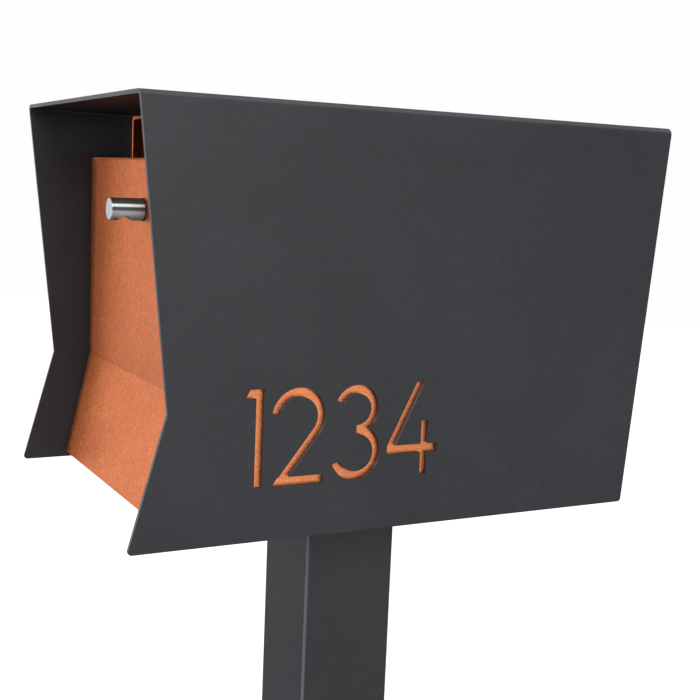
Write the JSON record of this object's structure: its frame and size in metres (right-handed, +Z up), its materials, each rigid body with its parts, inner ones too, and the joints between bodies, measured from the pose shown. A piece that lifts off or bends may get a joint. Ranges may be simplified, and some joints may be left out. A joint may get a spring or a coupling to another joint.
{
  "type": "post-mounted mailbox",
  "caption": "Mailbox on a square steel post: folded charcoal shell with kinked front edges, copper liner, drop-down copper door with a knob, and a letter slot above the door.",
  "frame": {"origin": "on the ground, at the centre of the base plate's underside, below the middle of the box", "axes": "+Z up along the post; -Y out of the front door; +X to the side that carries the house number"},
  "size_m": [0.327, 0.491, 1.403],
  "materials": {
    "charcoal_coat": "fine-textured matt powder coat",
    "post_coat": "fine-textured matt powder coat",
    "copper_sheet": "fine brushed copper, satin",
    "brushed_knob": "turned and brushed stainless steel",
    "stainless": "plain stainless steel",
    "zinc_steel": "bright zinc plate",
    "black_plastic": "moulded black nylon",
    "black_rubber": "soft black rubber",
    "magnet": "ground ferrite"
  },
  "bodies": {
    "housing": {"outer_shell": "charcoal_coat", "shell_studs": "zinc_steel", "stud_spacers": "black_plastic", "stud_nuts": "zinc_steel", "liner": "copper_sheet", "floor_pan": "copper_sheet", "floor_screws": "stainless", "floor_nuts": "zinc_steel", "back_panel": "charcoal_coat", "back_screws": "stainless", "back_nuts": "zinc_steel", "hinge_leaf_fixed": "stainless", "hinge_pin": "stainless", "hinge_rivets": "stainless", "catch_bodies": "black_plastic", "catch_magnets": "magnet", "catch_screws": "zinc_steel", "catch_nuts": "zinc_steel", "door_bumpers": "black_rubber", "post_tube": "post_coat", "post_top_plate": "post_coat", "top_weld": "post_coat", "mounting_bolts": "zinc_steel", "bolt_washers": "zinc_steel", "mounting_nuts": "zinc_steel", "base_plate": "post_coat", "base_weld": "post_coat"},
    "door": {"front_door": "copper_sheet", "hinge_leaf_door": "stainless", "hinge_studs": "zinc_steel", "hinge_nuts": "zinc_steel", "door_knob": "brushed_knob", "knob_washer": "black_rubber", "knob_screw": "stainless", "strike_plates": "zinc_steel"}
  },
  "joints": [
    {"name": "door_hinge", "type": "hinge", "parent": "housing", "child": "door", "pos_m": [0, -0.20078, 1.07683], "axis": [1, 0, 0], "range_deg": [0, 95]}
  ]
}
